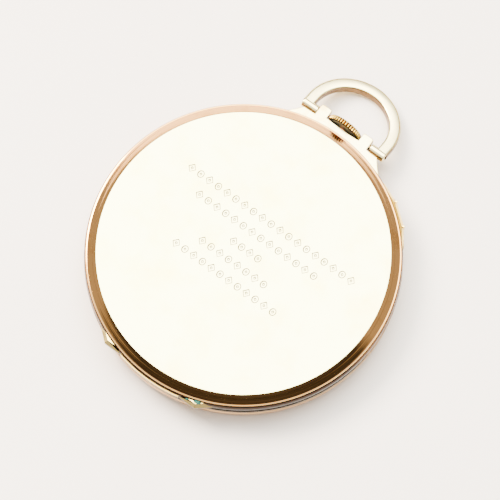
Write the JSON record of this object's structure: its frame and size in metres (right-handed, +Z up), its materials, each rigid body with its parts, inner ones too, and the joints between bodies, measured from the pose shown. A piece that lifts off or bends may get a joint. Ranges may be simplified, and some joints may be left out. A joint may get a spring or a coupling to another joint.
{
  "type": "open face pocket watch",
  "caption": "Thin gold open face pocket watch lying face down: snap back and bezel, glass, pendant with crown and swinging bow, dial, hands and hand-wound lever movement.",
  "frame": {"origin": "on the case's axis, in the plane of the glass's flat outer face that the watch rests on", "axes": "+Z up, out of the case's back; +Y through the pendant and the crown at 12 o'clock; +X to the right of the pendant seen from the back, which is 9 o'clock on the dial"},
  "size_m": [0.046, 0.0561, 0.0066],
  "materials": {
    "middle_gold": "polished",
    "back_gold": "satin",
    "bezel_gold": "polished",
    "bow_gold": "polished",
    "crown_gold": "polished",
    "pin_gold": "polished",
    "crystal_glass": "polished",
    "dial_enamel": "enamel",
    "dial_feet_brass": "turned",
    "hand_steel": "heat blued",
    "polished_steel": "polished",
    "wheel_brass": "gilt",
    "spring_steel": "rolled",
    "winding_steel": "sunray",
    "screw_steel": "polished",
    "jewel_ruby": "polished",
    "balance_brass": "polished",
    "hairspring_steel": "blued",
    "plate_nickel": "striped nickel plating"
  },
  "bodies": {
    "case": {"case_middle": "middle_gold", "bow_pins": "pin_gold", "dial": "dial_enamel", "dial_feet": "dial_feet_brass", "mainplate": "plate_nickel", "barrel_bridge": "plate_nickel", "train_bridge": "plate_nickel", "pallet_cock": "plate_nickel", "balance_cock": "plate_nickel", "plate_jewels": "jewel_ruby", "bridge_jewels": "jewel_ruby", "bridge_screws": "screw_steel", "case_screws": "screw_steel", "crown_wheel_screw": "screw_steel", "click_spring": "polished_steel"},
    "back": {"case_back": "back_gold"},
    "bezel": {"front_bezel": "bezel_gold", "crystal": "crystal_glass"},
    "bow": {"bow": "bow_gold"},
    "winding": {"winding_pinion": "polished_steel"},
    "crown": {"crown": "crown_gold", "winding_stem": "polished_steel"},
    "clutch": {"clutch": "polished_steel"},
    "setting_lever": {"setting_lever": "polished_steel"},
    "yoke": {"yoke": "polished_steel"},
    "setting_wheel": {"setting_wheel": "polished_steel"},
    "minute_works": {"minute_wheel": "polished_steel"},
    "hour": {"hour_wheel": "wheel_brass", "hour_hand": "hand_steel"},
    "center": {"center_wheel": "wheel_brass", "center_pinion": "polished_steel", "cannon_pinion": "polished_steel", "minute_hand": "hand_steel"},
    "third": {"third_wheel": "wheel_brass", "third_pinion": "polished_steel"},
    "fourth": {"fourth_wheel": "wheel_brass", "fourth_pinion": "polished_steel", "seconds_hand": "hand_steel"},
    "escape": {"escape_wheel": "polished_steel", "escape_pinion": "polished_steel"},
    "barrel": {"barrel": "wheel_brass", "barrel_cover": "wheel_brass", "mainspring": "spring_steel"},
    "ratchet": {"ratchet_wheel": "winding_steel", "ratchet_screw": "screw_steel", "barrel_arbor": "polished_steel"},
    "crown_wheel": {"crown_wheel": "winding_steel"},
    "click": {"click": "winding_steel"},
    "pallet": {"pallet_fork": "polished_steel", "pallet_stones": "jewel_ruby"},
    "balance": {"balance_wheel": "balance_brass", "balance_screws": "balance_brass", "balance_staff": "polished_steel", "roller": "polished_steel", "hairspring": "hairspring_steel"},
    "regulator": {"regulator": "winding_steel"}
  },
  "joints": [
    {"name": "back_lift", "type": "slide", "parent": "case", "child": "back", "axis": [0, 0, 1], "range_m": [0, 0.012]},
    {"name": "bezel_lift", "type": "slide", "parent": "case", "child": "bezel", "axis": [0, 0, -1], "range_m": [0, 0.012]},
    {"name": "bow_swing", "type": "hinge", "parent": "case", "child": "bow", "pos_m": [0, 0.0244, 0.0035], "axis": [1, 0, 0], "range_deg": [-72, 107]},
    {"name": "crown_turn", "type": "hinge", "parent": "case", "child": "winding", "pos_m": [0, 0, 0.0035], "axis": [0, 1, 0], "continuous": true},
    {"name": "crown_pull", "type": "slide", "parent": "winding", "child": "crown", "axis": [0, 1, 0], "range_m": [0, 0.0007]},
    {"name": "clutch_shift", "type": "slide", "parent": "winding", "child": "clutch", "axis": [0, -1, 0], "range_m": [0, 0.0006]},
    {"name": "lever_turn", "type": "hinge", "parent": "case", "child": "setting_lever", "pos_m": [-0.0026, 0.01579, 0.003], "axis": [0, 0, 1], "range_deg": [0, 15.4]},
    {"name": "yoke_turn", "type": "hinge", "parent": "case", "child": "yoke", "pos_m": [-0.0042, 0.01184, 0.003], "axis": [0, 0, -1], "range_deg": [0, 8.3]},
    {"name": "crown_wheel_turn", "type": "hinge", "parent": "case", "child": "crown_wheel", "pos_m": [0, 0.01074, 0.003], "axis": [0, 0, 1], "continuous": true},
    {"name": "ratchet_turn", "type": "hinge", "parent": "case", "child": "ratchet", "pos_m": [0.00836, 0.0039, 0.003], "axis": [0, 0, 1], "continuous": true},
    {"name": "fourth_turn", "type": "hinge", "parent": "case", "child": "fourth", "pos_m": [0, -0.009, 0.003], "axis": [0, 0, 1], "continuous": true},
    {"name": "third_turn", "type": "hinge", "parent": "case", "child": "third", "pos_m": [0.00413, -0.00534, 0.003], "axis": [0, 0, 1], "continuous": true},
    {"name": "center_turn", "type": "hinge", "parent": "case", "child": "center", "pos_m": [0, 0, 0.003], "axis": [0, 0, 1], "continuous": true},
    {"name": "barrel_turn", "type": "hinge", "parent": "case", "child": "barrel", "pos_m": [0.00836, 0.0039, 0.003], "axis": [0, 0, 1], "continuous": true},
    {"name": "escape_turn", "type": "hinge", "parent": "case", "child": "escape", "pos_m": [-0.00462, -0.00903, 0.003], "axis": [0, 0, 1], "continuous": true},
    {"name": "minute_works_turn", "type": "hinge", "parent": "case", "child": "minute_works", "pos_m": [-0.00114, 0.00367, 0.003], "axis": [0, 0, 1], "continuous": true},
    {"name": "hour_turn", "type": "hinge", "parent": "case", "child": "hour", "pos_m": [0, 0, 0.003], "axis": [0, 0, 1], "continuous": true},
    {"name": "setting_turn", "type": "hinge", "parent": "case", "child": "setting_wheel", "pos_m": [0, 0.008, 0.003], "axis": [0, 0, 1], "continuous": true},
    {"name": "click_turn", "type": "hinge", "parent": "case", "child": "click", "pos_m": [0.00985, 0.01237, 0.003], "axis": [0, 0, -1], "range_deg": [0, 15]},
    {"name": "pallet_rock", "type": "hinge", "parent": "case", "child": "pallet", "pos_m": [-0.00657, -0.00731, 0.003], "axis": [0, 0, 1], "range_deg": [-4, 4]},
    {"name": "balance_swing", "type": "hinge", "parent": "case", "child": "balance", "pos_m": [-0.0092, -0.005, 0.003], "axis": [0, 0, 1], "range_deg": [-270, 270]},
    {"name": "regulator_turn", "type": "hinge", "parent": "case", "child": "regulator", "pos_m": [-0.0092, -0.005, 0.003], "axis": [0, 0, 1], "range_deg": [-12, 12]}
  ],
  "couplings": [
    {"joint": "clutch_shift", "follows": "crown_pull", "ratio": 0.85714},
    {"joint": "lever_turn", "follows": "crown_pull", "rad_per_m": 382.32},
    {"joint": "yoke_turn", "follows": "crown_pull", "rad_per_m": 203.74},
    {"joint": "crown_wheel_turn", "follows": "crown_turn", "ratio": -0.4},
    {"joint": "ratchet_turn", "follows": "crown_turn", "ratio": 0.2},
    {"joint": "third_turn", "follows": "fourth_turn", "ratio": -0.13333},
    {"joint": "center_turn", "follows": "fourth_turn", "ratio": 0.016667},
    {"joint": "barrel_turn", "follows": "fourth_turn", "ratio": -0.0020833},
    {"joint": "escape_turn", "follows": "fourth_turn", "ratio": -10},
    {"joint": "minute_works_turn", "follows": "fourth_turn", "ratio": -0.0055556},
    {"joint": "hour_turn", "follows": "fourth_turn", "ratio": 0.0013889},
    {"joint": "setting_turn", "follows": "fourth_turn", "ratio": 0.01}
  ]
}
